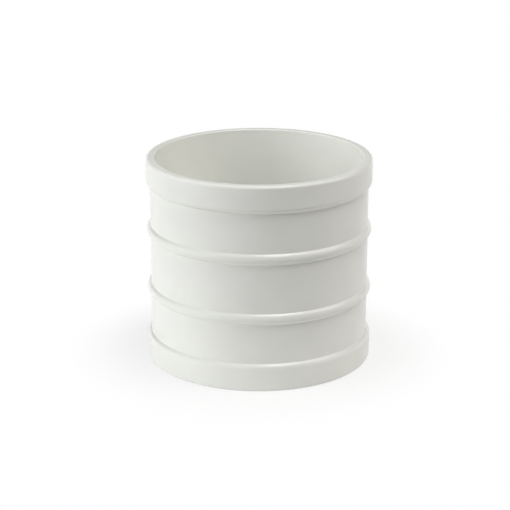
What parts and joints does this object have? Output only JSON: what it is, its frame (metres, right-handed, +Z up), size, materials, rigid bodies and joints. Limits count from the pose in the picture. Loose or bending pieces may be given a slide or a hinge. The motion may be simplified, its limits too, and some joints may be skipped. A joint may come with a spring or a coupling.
{
  "type": "straight pipe coupling",
  "caption": "White moulded sleeve that joins round ducts end to end, with a thickened band at each mouth, raised beads round the body and a stop ring inside.",
  "frame": {"origin": "middle of the lower mouth, in the plane that the coupling stands on", "axes": "+Z up the bore, from the lower mouth to the upper one; X and Y are alike, because the shape is turned about Z"},
  "size_m": [0.109, 0.109, 0.1],
  "materials": {
    "white_plastic": "satin gloss, as moulded"
  },
  "bodies": {
    "root": {"coupling": "white_plastic"}
  },
  "joints": []
}
